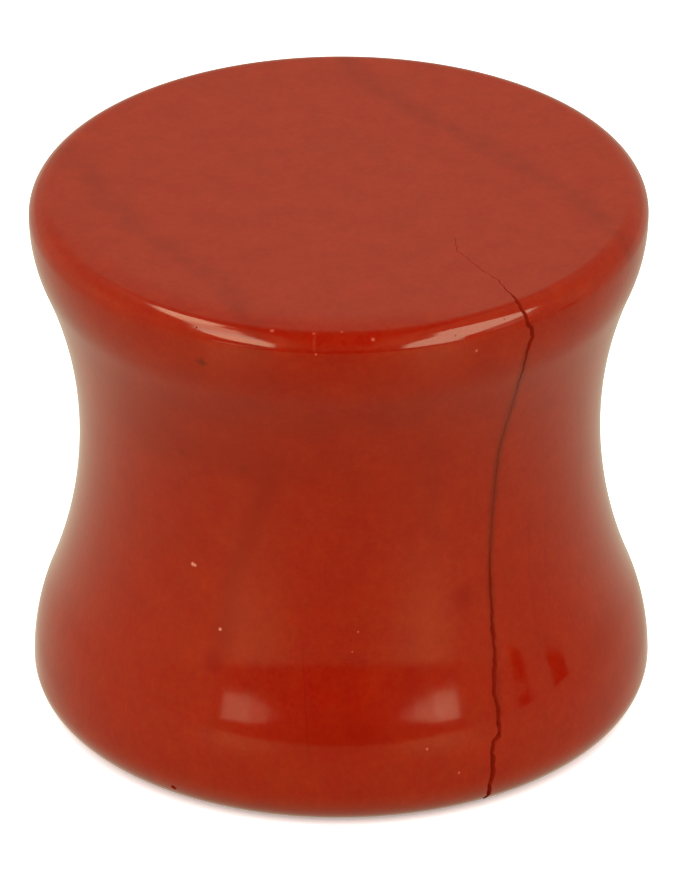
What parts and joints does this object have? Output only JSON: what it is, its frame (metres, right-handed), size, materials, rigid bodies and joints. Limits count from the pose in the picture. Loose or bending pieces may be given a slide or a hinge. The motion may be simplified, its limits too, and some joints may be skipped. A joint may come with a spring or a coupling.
{
  "type": "double flared ear plug",
  "caption": "Solid round ear plug of polished red jasper with a flared lip at each flat end and a hollow waist where the earlobe sits.",
  "frame": {"origin": "centre of the lower flat end, on which the plug stands", "axes": "+Z along the plug's axis towards the upper flat end, -Y towards the side with the long crack, +X to the right seen from there"},
  "size_m": [0.015, 0.015, 0.0136],
  "materials": {
    "red_jasper": "polished"
  },
  "bodies": {
    "root": {"plug_body": "red_jasper"}
  },
  "joints": []
}
